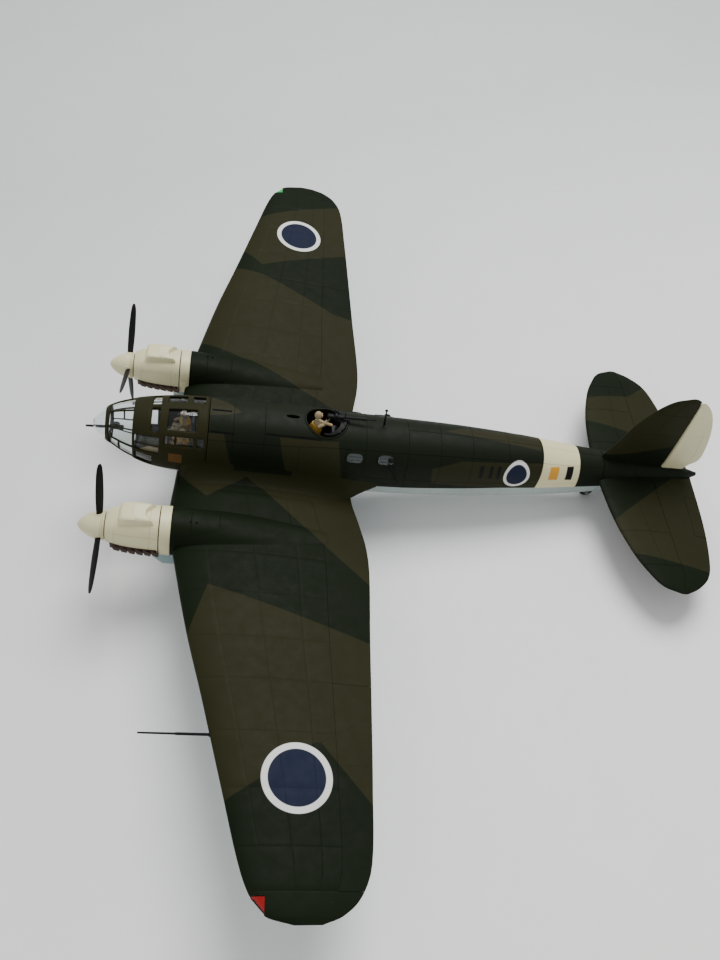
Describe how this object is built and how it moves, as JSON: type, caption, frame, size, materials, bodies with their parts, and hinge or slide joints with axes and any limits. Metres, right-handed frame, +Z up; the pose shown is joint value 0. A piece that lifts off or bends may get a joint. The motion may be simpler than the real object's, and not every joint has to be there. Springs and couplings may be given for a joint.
{
  "type": "twin-engined bomber scale model",
  "caption": "Standing scale model of a twin-engined propeller bomber with a glazed nose, rolling wheels, spinning propellers and a panning dorsal gun.",
  "frame": {"origin": "middle of the model's footprint, at the surface its three wheels stand on", "axes": "+X aft, nose towards -X; +Y to starboard; +Z up. The model stands nose-up on its wheels."},
  "size_m": [0.2282, 0.314, 0.0545],
  "materials": {
    "camouflage_paint": "satin, two dark greens and brown in hard-edged bands",
    "underside_paint": "satin pale blue",
    "cream_paint": "satin cream",
    "clear_plastic": "clear, polished",
    "black_plastic": "satin black",
    "steel": "turned",
    "brass": "turned brass",
    "grey_plastic": "satin dark grey",
    "tyre_rubber": "matt black",
    "exhaust_brown": "matt dark brown",
    "crew_paint": "matt hand-painted beige with yellow vests",
    "red_lens": "gloss red",
    "green_lens": "gloss green"
  },
  "bodies": {
    "airframe": {"dorsal_deck": "camouflage_paint", "belly_screws": "steel", "tail_cone": "camouflage_paint", "fuselage_shell": "camouflage_paint", "dorsal_coaming": "camouflage_paint", "ventral_gondola": "underside_paint", "gun_barrels": "black_plastic", "nose_frame": "camouflage_paint", "nose_glazing": "clear_plastic", "nose_cone_glazing": "clear_plastic", "nose_gun": "black_plastic", "cockpit_floor": "grey_plastic", "cockpit_bulkhead": "grey_plastic", "crew_seats": "grey_plastic", "cockpit_crew": "crew_paint", "gun_pedestal": "black_plastic", "dorsal_gunner_figure": "crew_paint", "beam_windows": "clear_plastic", "aerial_mast": "black_plastic", "wing_port_upper": "camouflage_paint", "wing_port_lower": "underside_paint", "nav_light_port": "red_lens", "wing_starboard_upper": "camouflage_paint", "wing_starboard_lower": "underside_paint", "nav_light_starboard": "green_lens", "pitot_tube": "steel", "tailplane_port": "camouflage_paint", "tailplane_starboard": "camouflage_paint", "fin": "camouflage_paint", "rudder": "cream_paint", "prop_bushes": "brass", "cowl_ring_port": "cream_paint", "cowling_port": "cream_paint", "exhausts": "exhaust_brown", "nacelle_port": "camouflage_paint", "radiators": "underside_paint", "gear_doors": "underside_paint", "gear_leg_port": "grey_plastic", "main_axle_port": "steel", "cowl_ring_starboard": "cream_paint", "cowling_starboard": "cream_paint", "nacelle_starboard": "camouflage_paint", "gear_leg_starboard": "grey_plastic", "main_axle_starboard": "steel", "tail_fork": "grey_plastic", "tail_axle": "steel"},
    "port_propeller": {"propeller_port": "black_plastic", "spinner_port": "cream_paint", "prop_shaft_port": "steel"},
    "starboard_propeller": {"propeller_starboard": "black_plastic", "spinner_starboard": "cream_paint", "prop_shaft_starboard": "steel"},
    "port_wheel": {"tyre_port": "tyre_rubber", "wheel_hub_port": "grey_plastic"},
    "starboard_wheel": {"tyre_starboard": "tyre_rubber", "wheel_hub_starboard": "grey_plastic"},
    "rear_wheel": {"tail_wheel": "tyre_rubber"},
    "dorsal_gun_mount": {"dorsal_gun": "black_plastic"}
  },
  "joints": [
    {"name": "port_propeller_spin", "type": "hinge", "parent": "airframe", "child": "port_propeller", "pos_m": [-0.10514, -0.0374, 0.03232], "axis": [0.9914, 0, -0.1305], "continuous": true},
    {"name": "starboard_propeller_spin", "type": "hinge", "parent": "airframe", "child": "starboard_propeller", "pos_m": [-0.10514, 0.0374, 0.03232], "axis": [0.9914, 0, -0.1305], "continuous": true},
    {"name": "port_wheel_roll", "type": "hinge", "parent": "airframe", "child": "port_wheel", "pos_m": [-0.07366, -0.0374, 0.0079], "axis": [0, 1, 0], "continuous": true},
    {"name": "starboard_wheel_roll", "type": "hinge", "parent": "airframe", "child": "starboard_wheel", "pos_m": [-0.07366, 0.0374, 0.0079], "axis": [0, 1, 0], "continuous": true},
    {"name": "rear_wheel_roll", "type": "hinge", "parent": "airframe", "child": "rear_wheel", "pos_m": [0.07294, 0, 0.0029], "axis": [0, 1, 0], "continuous": true},
    {"name": "dorsal_gun_pan", "type": "hinge", "parent": "airframe", "child": "dorsal_gun_mount", "pos_m": [-0.0261, 0.0006, 0.0435], "axis": [0.1305, 0, 0.9914], "range_deg": [-40, 40]}
  ]
}
